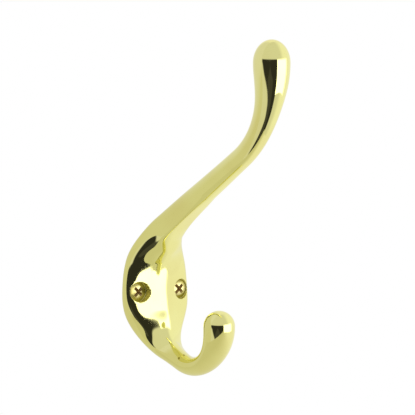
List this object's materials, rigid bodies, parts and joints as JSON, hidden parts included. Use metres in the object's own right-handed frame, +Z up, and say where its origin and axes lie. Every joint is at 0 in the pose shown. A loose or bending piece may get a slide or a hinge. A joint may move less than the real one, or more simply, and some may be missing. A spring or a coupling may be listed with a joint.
{
  "type": "coat hook",
  "caption": "Polished brass coat-and-hat hook: long upper arm and small lower curl with ball tips on a leaf-shaped ridged base, fixed to a wall by raised countersunk screws.",
  "frame": {"origin": "on the wall plane, at the flat back of the base, midway between the two screws", "axes": "+Z up along the wall, +Y into the wall, so the arms stand out towards -Y; X runs from screw to screw"},
  "size_m": [0.0316, 0.1074, 0.1358],
  "materials": {
    "polished_brass": "bright polished and lacquered, with a linished flat back",
    "screw_brass": "brass plated, slightly duller than the hook"
  },
  "bodies": {
    "root": {"hook": "polished_brass", "mounting_screws": "screw_brass"}
  },
  "joints": []
}
